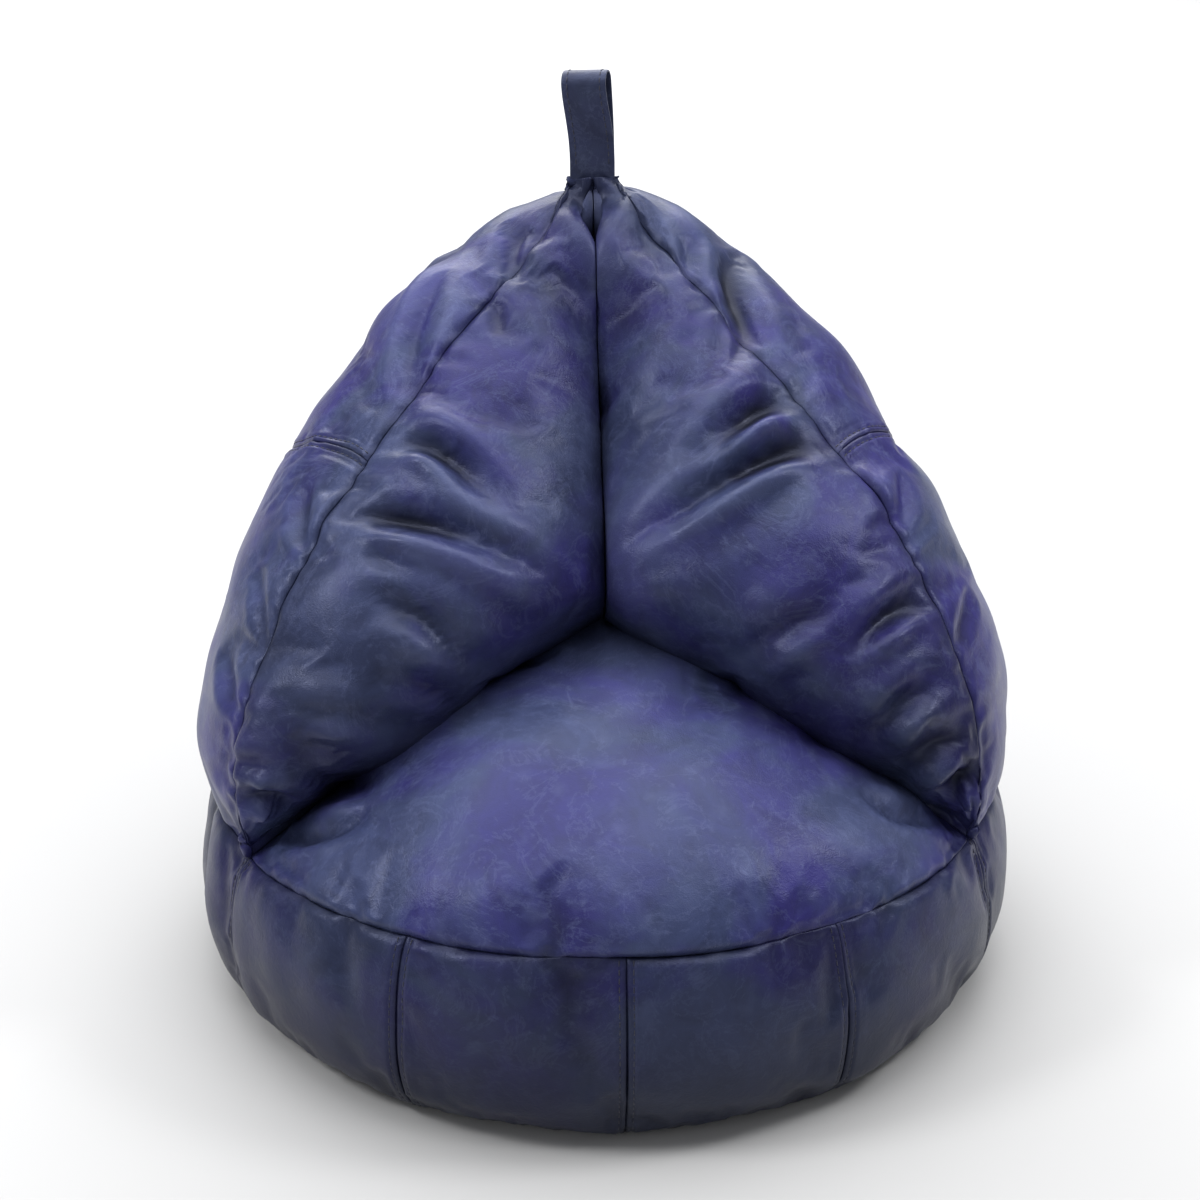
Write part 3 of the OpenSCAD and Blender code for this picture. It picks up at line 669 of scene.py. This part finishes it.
def noise(tree, vector, scale, detail, rough=.5, twist=0.):
    # a cloudy pattern, scale to the metre
    node = tree.nodes.new("ShaderNodeTexNoise")
    node.inputs["Scale"].default_value, node.inputs["Detail"].default_value = scale, detail
    node.inputs["Roughness"].default_value, node.inputs["Distortion"].default_value = rough, twist
    tree.links.new(vector, node.inputs["Vector"])
    return node.outputs["Fac"]


def span(tree, value, low, high, outLow=0., outHigh=1.):
    # stretches low..high onto outLow..outHigh, and stops at both ends
    node = tree.nodes.new("ShaderNodeMapRange")
    for key, number in (("From Min", low), ("From Max", high), ("To Min", outLow), ("To Max", outHigh)):
        node.inputs[key].default_value = number
    tree.links.new(value, node.inputs["Value"])
    return node.outputs["Result"]


def mix(tree, a, b, share, way="MIX"):
    # blends two colours; each of the three may be a socket or a fixed value
    node = tree.nodes.new("ShaderNodeMix")
    node.data_type, node.blend_type = "RGBA", way
    for socket, value in (("Factor_Float", share), ("A_Color", a), ("B_Color", b)):
        target = next(i for i in node.inputs if i.identifier == socket)
        if isinstance(value, (tuple, float, int)):
            target.default_value = (*value, 1) if isinstance(value, tuple) else value
        else:
            tree.links.new(value, target)
    return next(o for o in node.outputs if o.identifier == "Result_Color")


def bump(tree, height, distance, strength, before=None):
    # tilts the surface by a height pattern, on top of an earlier one
    node = tree.nodes.new("ShaderNodeBump")
    node.inputs["Distance"].default_value, node.inputs["Strength"].default_value = distance, strength
    tree.links.new(height, node.inputs["Height"])
    if before is not None:
        tree.links.new(before, node.inputs["Normal"])
    return node.outputs["Normal"]


def attribute(tree, name):
    node = tree.nodes.new("ShaderNodeAttribute")
    node.attribute_name = name
    return node.outputs["Fac"]


# colours in linear light; a pattern is scale, detail, roughness and twist; a mix is the pattern's or
# the attribute's own range, then how much of the mix's colour that lays on; the attribute mixes are painted
# shade and painted highlight
leather = {"violet": (.033, .029, .160), "slate": (.046, .060, .142), "deep": (.0065, .0075, .012),
           "pale": (.13, .155, .30), "roughness": (.30, .42), "specular": .34, "shine": (.62, .68, 1),
           "cloud": (6.5, 4, .55, .5), "clouding": (.42, .58),
           "mottle": (24, 6, .62, .8), "mottling": (.62, .30, 0, .45), "waxing": (.3, .7),
           "scuff": (38, 7, .72, 1.6), "scuffing": (.56, .78, 0, .55),
           "wisp": (11, 9, .68, 1.4), "wispWidth": .012, "wisping": (0, 1, 0, .16),
           "haze": (30, 3), "hazing": (.58, .8, 0, .3),
           "grain": 750, "grainBump": (.0004, .30), "crinkle": (95, 5, .6, 1.2), "crinkleBump": (.0012, .35)}
# painted shade and painted highlight that follow the cover's own shape: darker in fold valleys, beside seams,
# low on the band and in the creases, paler on fold lips; attribute, colour and mix
shapeShadeAndHighlight = [("press", "deep", (.0, -.014, 0, .92)), ("press", "pale", (.003, .014, 0, .30)),
               ("seam", "deep", (.5, 1, 0, .45)), ("worn", "deep", (0, 1, 0, .95))]


def waxedLeather(name, look, paintedLight):
    # cloudy violet and slate under wax, pale scuffs and wisps, then painted shade and painted highlight, and
    # a pebble grain
    paint, tree, shader, place = shaderNodes(name)
    cloud = noise(tree, place, *look["cloud"])
    colour = mix(tree, look["violet"], look["slate"], span(tree, cloud, *look["clouding"]))
    mottle = noise(tree, place, *look["mottle"])
    colour = mix(tree, colour, look["deep"], span(tree, mottle, *look["mottling"]))
    scuff = noise(tree, place, *look["scuff"])
    colour = mix(tree, colour, look["pale"], span(tree, scuff, *look["scuffing"]))
    wisp = tree.nodes.new("ShaderNodeMath")
    wisp.operation = "COMPARE"
    tree.links.new(noise(tree, place, *look["wisp"]), wisp.inputs[0])
    wisp.inputs[1].default_value, wisp.inputs[2].default_value = .5, look["wispWidth"]
    haze = noise(tree, place, *look["haze"])
    colour = mix(tree, colour, look["pale"], span(tree, wisp.outputs[0], *look["wisping"]))
    colour = mix(tree, colour, look["pale"], span(tree, haze, *look["hazing"]))
    # painted shade and painted highlight, from attributes that follow the cover's shape
    for source, tone, paintedRange in paintedLight:
        colour = mix(tree, colour, look[tone], span(tree, attribute(tree, source), *paintedRange))
    tree.links.new(colour, shader.inputs["Base Color"])
    tree.links.new(span(tree, mottle, *look["waxing"], *look["roughness"]), shader.inputs["Roughness"])
    shader.inputs["Specular IOR Level"].default_value = look["specular"]
    shader.inputs["Specular Tint"].default_value = (*look["shine"], 1)
    grain = tree.nodes.new("ShaderNodeTexVoronoi")
    grain.inputs["Scale"].default_value = look["grain"]
    tree.links.new(place, grain.inputs["Vector"])
    crinkled = bump(tree, noise(tree, place, *look["crinkle"]), *look["crinkleBump"])
    pebbled = bump(tree, grain.outputs["Distance"], *look["grainBump"], crinkled)
    tree.links.new(pebbled, shader.inputs["Normal"])
    return paint


coverPaint = waxedLeather("waxedLeather", leather, shapeShadeAndHighlight)
panels = {}
for name in maps:
    piece, panels[name] = coverPanel(name)
    piece.data.materials.append(coverPaint)
print("cover panels made")


def sweep(path, across, profile):
    # a closed profile (sideways, outward) carried along a path; across is the sideways direction all along
    out = unit(np.cross(across, unit(np.gradient(path, axis=0))))
    return path[:, None] + profile[None, :, :1] * across[:, None] + profile[None, :, 1:] * out[:, None]


def tubeFaces(rows, cols):
    # quads round a closed profile, with one face over each end
    k = np.arange(rows * cols).reshape(rows, cols)
    a, b = k, np.roll(k, -1, 1)
    quads = np.stack([a[:-1], b[:-1], b[1:], a[1:]], -1).reshape(-1, 4).tolist()
    return quads + [k[0][::-1].tolist(), k[-1].tolist()]


def flatProfile(width, thick, corners, power):
    # a strap cut across: a rounded rectangle |x|^p + |y|^p = 1, started just off its widest point
    a = np.linspace(0, 2 * np.pi, corners, endpoint=False) + .01
    c, s = np.cos(a), np.sin(a)
    r = (np.abs(c) ** power + np.abs(s) ** power) ** (-1 / power)
    return np.stack([c * r * width / 2, s * r * thick / 2], 1)


def evenly(line, pitch):
    # points a fixed pitch apart along a line, with whatever else the line carries read there too
    size = np.concatenate([[0], np.cumsum(np.linalg.norm(np.diff(line[:, :3], axis=0), axis=1))])
    count = max(2, int(size[-1] / pitch))
    at = (np.arange(count) + .5) * size[-1] / count
    return np.stack([np.interp(at, size, line[:, k]) for k in range(line.shape[1])], 1)


# a stitch's rings are shares of its length, with shares of its radius
stitch = {"pitch": .0076, "length": .0052, "radius": .00048, "rings": (-.5, -.42, .42, .5),
          "ringRadii": (.35, 1, 1, .35), "sides": 5, "proud": .00015, "trim": .015}


def stitchRows(name, rows, node, body="bag"):
    # every stitch is a short capsule laid along its row; a row holds points and normals
    ends = np.array(stitch["rings"])[:, None, None] * stitch["length"]
    radii = np.array(stitch["ringRadii"])[:, None, None] * stitch["radius"]
    a = (np.arange(stitch["sides"]) * 2 * np.pi / stitch["sides"])[:, None]
    verts = []
    for row in rows:
        spots = evenly(row, stitch["pitch"])
        p, n = spots[:, :3], unit(spots[:, 3:])
        t = unit(np.gradient(p, axis=0))
        b = np.cross(n, t)
        p, n, t, b = (w[:, None, None] for w in (p, n, t, b))
        shell = ends * t + radii * (np.cos(a) * n + np.sin(a) * b)
        verts.append(p + n * stitch["proud"] + shell)
    verts = np.concatenate(verts)
    one = tubeFaces(len(ends), stitch["sides"])
    size = len(ends) * stitch["sides"]
    polys = [[i + k * size for i in f[::-1]] for k in range(len(verts)) for f in one]
    piece = newMesh(name, verts, polys)
    if body:
        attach(piece, body)
    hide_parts(node)
    return piece


def rowBeside(panel, side):
    # the line one stitch allowance in from a panel's edge, with its normals
    p, n, reach = panel
    both, d = np.concatenate([p, n], 2), reach[side]
    if side in ("bottom", "top"):
        both, d = np.swapaxes(both, 0, 1), d.T
    if side in ("right", "top"):
        both, d = both[:, ::-1], d[:, ::-1]
    k = np.clip((d < finish["stitchAt"]).sum(1), 1, d.shape[1] - 1)
    r = np.arange(len(d))
    f = ((finish["stitchAt"] - d[r, k - 1]) / np.maximum(d[r, k] - d[r, k - 1], 1e-9))[:, None]
    line = both[r, k - 1] * (1 - f) + both[r, k] * f
    trim = max(1, int(len(line) * stitch["trim"]))
    return line[trim:-trim]


bandRows = [rowBeside(panels[f"band_panel_{k}"], side)
            for k in range(1, net["bands"] + 1) for side in ("left", "right")]
backRows = [rowBeside(panels[f"lower_back_panel_{s}"], "top") for s in ("left", "right")]
backRows += [rowBeside(panels[f"upper_back_panel_{s}"], "bottom") for s in ("left", "right")]
threadPieces = [stitchRows("bandStitches", bandRows, "band_topstitching"),
                stitchRows("backStitches", backRows, "back_topstitching")]

# foot and loop are half gaps between the plies; the turn is this share as high as it is deep
strap = {"width": .045, "ply": .0028, "foot": .0018, "loop": .0135, "top": .8375, "sunk": .006,
         "plySteps": 26, "turnSteps": 17, "turnHeight": .85, "sides": 36, "corner": 7,
         "yaw": -15, "lean": -3.5, "edgeRow": .0165, "stitchFrom": .012, "bendFrom": -.002, "bendTo": .016}


def strapPath(s):
    # up the front ply, over a round loop and down the rear ply: the half gap eases open from foot to loop
    z = np.linspace(apex[2] - s["sunk"], s["top"], s["plySteps"])
    half = s["foot"] + (s["loop"] - s["foot"]) * ease((z - apex[2]) / (s["top"] - apex[2]))
    a = np.linspace(0, np.pi, s["turnSteps"])[1:-1]
    y = np.concatenate([-half, -s["loop"] * np.cos(a), half[::-1]])
    z = np.concatenate([z, s["top"] + s["loop"] * s["turnHeight"] * np.sin(a), z[::-1]])
    return np.stack([np.zeros(len(y)), y, z], 1)


def strapTwist(p, s):
    # the strap turns and leans a little more towards its top
    share = ease((p[..., 2] - apex[2]) / (s["top"] - apex[2]))
    turn, lean = np.radians(s["yaw"]) * share, np.radians(s["lean"]) * share
    x, y, z = p[..., 0], p[..., 1], p[..., 2] - apex[2]
    x, y = x * np.cos(turn) - y * np.sin(turn), x * np.sin(turn) + y * np.cos(turn)
    x, z = x * np.cos(lean) + z * np.sin(lean), -x * np.sin(lean) + z * np.cos(lean)
    return np.stack([x, y + apex[1], z + apex[2]], -1)


def makeStrap(s):
    # the loop, and a row of stitches beside each of its edges
    path = strapPath(s)
    across = np.tile([1., 0, 0], (len(path), 1))
    verts = strapTwist(sweep(path, across, flatProfile(s["width"], s["ply"], s["sides"], s["corner"])), s)
    piece = newMesh("handleStrap", verts, tubeFaces(*verts.shape[:2]))
    smoothing = piece.modifiers.new("smoothing", "SUBSURF")
    smoothing.levels = smoothing.render_levels = 1
    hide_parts("handle_strap")
    rows = []
    out = np.cross(across, unit(np.gradient(path, axis=0)))
    keep = path[:, 2] > apex[2] + s["stitchFrom"]
    for side in (-1, 1):
        line = path + across * side * s["edgeRow"] + out * (s["ply"] / 2)
        foot, tip = strapTwist(line, s), strapTwist(line + out * .001, s)
        rows.append(np.concatenate([foot, unit(tip - foot)], 1)[keep])
    return piece, stitchRows("handleStitches", rows, "handle_stitching", None)


strapPiece, strapStitches = makeStrap(strap)
for piece in (strapPiece, strapStitches):
    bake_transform(piece)
threadPieces.append(strapStitches)
print("handle and stitches made")

coil = {"pitch": .0022, "wide": .0012, "high": .00105, "wire": .00042, "perTurn": 8, "sides": 5}


def makeCoil(name, node):
    # a wire wound round the edge of its tape: a helix bent along the closing arc
    low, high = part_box(node)
    middle, half = (low[2] + high[2]) / 2, math.radians(180 - bag["zipOpen"])
    radius = high[1] - coil["wide"]
    turns = int(2 * half * radius / coil["pitch"])
    t = np.linspace(0, 1, turns * coil["perTurn"] + 1)
    a, w = (2 * t - 1) * half, t * turns * 2 * np.pi
    r, z = radius + coil["wide"] * np.cos(w), middle + coil["high"] * np.sin(w)
    line = np.stack([r * np.sin(a), r * np.cos(a), z], 1)
    ahead = unit(np.gradient(line, axis=0))
    side = unit(np.cross(ahead, np.stack([np.sin(a), np.cos(a), 0 * a], 1)))
    up = np.cross(ahead, side)
    k = np.arange(coil["sides"]) * 2 * np.pi / coil["sides"]
    around = np.cos(k)[:, None] * side[:, None] + np.sin(k)[:, None] * up[:, None]
    verts = line[:, None] + coil["wire"] * around
    piece = newMesh(name, verts, tubeFaces(*verts.shape[:2]))
    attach(piece, "bag")
    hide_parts(node)
    return piece


coilPieces = [makeCoil("zipCoilUpper", "zip_coil_upper"), makeCoil("zipCoilLower", "zip_coil_lower")]
print("zip coils made")


def closedNet():
    # the cover's net without its zip gap and with its floor filled in
    join = np.arange(len(points))
    for side, order in (("right", range(3, 7)), ("left", range(7, 11))):
        foot = maps[f"lower_back_panel_{side}"][0]
        tops = [maps[f"band_panel_{k}"][-1] for k in order]
        top = np.concatenate([tops[0], *[t[1:] for t in tops[1:]]])
        join[top] = foot
    rim = np.concatenate([maps[f"band_panel_{k}"][0][:-1] for k in range(1, net["bands"] + 1)])
    fan = np.stack([np.roll(rim, -1), rim, np.full(len(rim), len(points))], 1)
    return threeCornered(np.concatenate([join[faces], fan]))


# a layer is drawn towards a heart line beside the creases, and lies flatter near the apex
inside = {"fill": .8, "creasePoints": 60, "drawn": .013, "drawnOver": .035, "flatFrom": .66, "flatBy": .45,
          "lowHeart": ((.6, 0, 0), (0, .11, .12)), "highHeart": ((1, 0, .9), (0, .17, 0))}


def insideLayer(name, node, deeper):
    # the cover's net drawn onto a layer's own surface, then pressed in where the cover has folds
    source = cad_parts[node].data
    verts = np.empty(len(source.vertices) * 3)
    source.vertices.foreach_get("co", verts)
    tree = BVHTree.FromPolygons(verts.reshape(-1, 3).tolist(), [list(p.vertices) for p in source.polygons])
    found = np.array([tree.find_nearest(Vector(p))[0] for p in smooth])
    push = np.minimum(((points - smooth) * normals).sum(1), 0) - deeper
    found = found + normals * push[:, None]
    s, floor = inside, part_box(node)[0][2]
    low = (smooth[:, 2] < bag["foldHeight"])[:, None]
    heart = np.where(low, *[smooth * scale + shift for scale, shift in (s["lowHeart"], s["highHeart"])])
    gap = creaseGap(smooth, s["creasePoints"])
    found = found + unit(heart - found) * (s["drawn"] * np.exp(-(gap / s["drawnOver"]) ** 2))[:, None]
    flatter = s["flatFrom"] + (found[:, 2] - s["flatFrom"]) * s["flatBy"]
    found[:, 2] = np.maximum(np.where(found[:, 2] > s["flatFrom"], flatter, found[:, 2]), floor)
    middle = np.array([[0, 0, floor]])
    tri = closedNet()
    used, index = np.unique(tri, return_inverse=True)
    piece = newMesh(name, np.concatenate([found, middle])[used], index.reshape(tri.shape))
    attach(piece, "bag")
    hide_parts(node)
    return piece


linerPiece = insideLayer("linerBag", "liner_body", .0015)
beadPiece = insideLayer("beadFill", "bead_fill", .003)

# the disc's waves rise as share^6 of the radius, and its rim turns up over the last part
base = {"rings": 26, "turns": 144, "hub": .004, "inset": .0005, "lift": .0008, "wave": .0006,
        "waves": (23, 5), "rimFrom": .975, "thickness": .0012}


def makeBase(s):
    # a disc of rings and turns, drawn up in slow waves near its sewn edge
    turns = np.arange(s["turns"]) * 2 * np.pi / s["turns"]
    r, a = np.meshgrid(np.linspace(s["hub"], 1, s["rings"]), turns, indexing="ij")
    edge, (many, few) = bag["baseRadius"] - s["inset"], s["waves"]
    z = s["lift"] + s["wave"] * r ** 6 * (1 + np.sin(a * many + 2 * np.sin(a * few)))
    z = z + (bag["baseEdge"] - s["thickness"]) * np.clip((r - s["rimFrom"]) / (1 - s["rimFrom"]), 0, 1)
    verts = np.stack([r * edge * np.sin(a), -r * edge * np.cos(a), z], -1)
    k = np.arange(r.size).reshape(r.shape)
    quads = np.stack([k[:-1], k[1:], np.roll(k, -1, 1)[1:], np.roll(k, -1, 1)[:-1]], -1).reshape(-1, 4)
    piece = newMesh("baseCloth", verts, quads.tolist() + [k[0].tolist()])
    wall = piece.modifiers.new("wall", "SOLIDIFY")
    wall.thickness, wall.offset = s["thickness"], -1
    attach(piece, "bag")
    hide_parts("base_panel")
    return piece


basePiece = makeBase(base)
print("lining, fill and base made")


cloth = {"waver": .4, "drift": (40, 4), "drifting": (.35, .65), "depth": .55, "bump": (.0004, .6)}


def woven(name, colours, thread, roughness, sheen):
    # plain weave: crossed waves a thread apart, multiplied, with a little colour drift
    paint, tree, shader, place = shaderNodes(name)
    waves = []
    for way in ("X", "Y", "Z"):
        node = tree.nodes.new("ShaderNodeTexWave")
        node.bands_direction = way
        node.inputs["Scale"].default_value = 1 / thread / 3.14
        node.inputs["Distortion"].default_value = cloth["waver"]
        tree.links.new(place, node.inputs["Vector"])
        waves.append(node.outputs["Fac"])
    weave = mix(tree, mix(tree, waves[0], waves[1], 1., "MULTIPLY"), waves[2], .5, "MULTIPLY")
    drift = noise(tree, place, *cloth["drift"])
    colour = mix(tree, *colours, span(tree, drift, *cloth["drifting"]))
    tree.links.new(mix(tree, colour, weave, cloth["depth"], "MULTIPLY"), shader.inputs["Base Color"])
    tree.links.new(bump(tree, weave, *cloth["bump"]), shader.inputs["Normal"])
    shader.inputs["Roughness"].default_value = roughness
    shader.inputs["Sheen Weight"].default_value = sheen
    return paint


def plainFinish(name, colours, scale, roughness, metal=0., depth=.0002):
    # two close tones in a fine noise, with a soft bump from the same noise
    paint, tree, shader, place = shaderNodes(name)
    speck = noise(tree, place, scale, 4, .6)
    tree.links.new(mix(tree, *colours, span(tree, speck, .35, .65)), shader.inputs["Base Color"])
    tree.links.new(span(tree, speck, .3, .7, roughness - .06, roughness + .06), shader.inputs["Roughness"])
    tree.links.new(bump(tree, speck, depth, .3), shader.inputs["Normal"])
    shader.inputs["Metallic"].default_value = metal
    return paint


strapLook = dict(leather, violet=(.030, .030, .085), slate=(.034, .042, .085), pale=(.10, .12, .20))
paints = {
    "thread": woven("thread", [(.022, .025, .060), (.030, .034, .075)], .0006, .6, .2),
    "strap": waxedLeather("strapLeather", strapLook, []),
    "tape": woven("zipTape", [(.012, .013, .028), (.018, .020, .038)], .0005, .75, .2),
    "coil": plainFinish("zipCoil", [(.010, .011, .020), (.018, .019, .030)], 900, .38),
    "metal": plainFinish("nickel", [(.42, .42, .44), (.55, .55, .57)], 600, .30, 1.),
    "base": woven("baseCloth", [(.010, .010, .013), (.020, .020, .025)], .0012, .85, .1),
    "lining": woven("linerCloth", [(.62, .62, .60), (.70, .70, .68)], .0008, .85, .1),
    "linerZip": plainFinish("linerZip", [(.60, .60, .58), (.68, .68, .66)], 500, .6),
    "beads": plainFinish("beads", [(.80, .80, .80), (.90, .90, .90)], 260, .7, 0., .001),
}
made = {"thread": threadPieces, "coil": coilPieces, "strap": [strapPiece], "base": [basePiece],
        "lining": [linerPiece], "beads": [beadPiece]}
for paint, pieces in made.items():
    for piece in pieces:
        piece.data.materials.append(paints[paint])
# frame nodes that stay in sight with a finish of their own
shown = {"zip_tape_upper": "tape", "zip_tape_lower": "tape", "zip_end_stops": "metal",
         "zip_slider": "metal", "zip_pull": "metal", "handle_anchor": "strap",
         "liner_base_front": "lining", "liner_base_rear": "lining", "liner_zip_tapes": "tape",
         "liner_zip_coils": "linerZip", "liner_zip_slider": "metal"}
for node, paint in shown.items():
    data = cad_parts[node].data
    data.materials.clear()
    data.materials.append(paints[paint])
print("materials set")
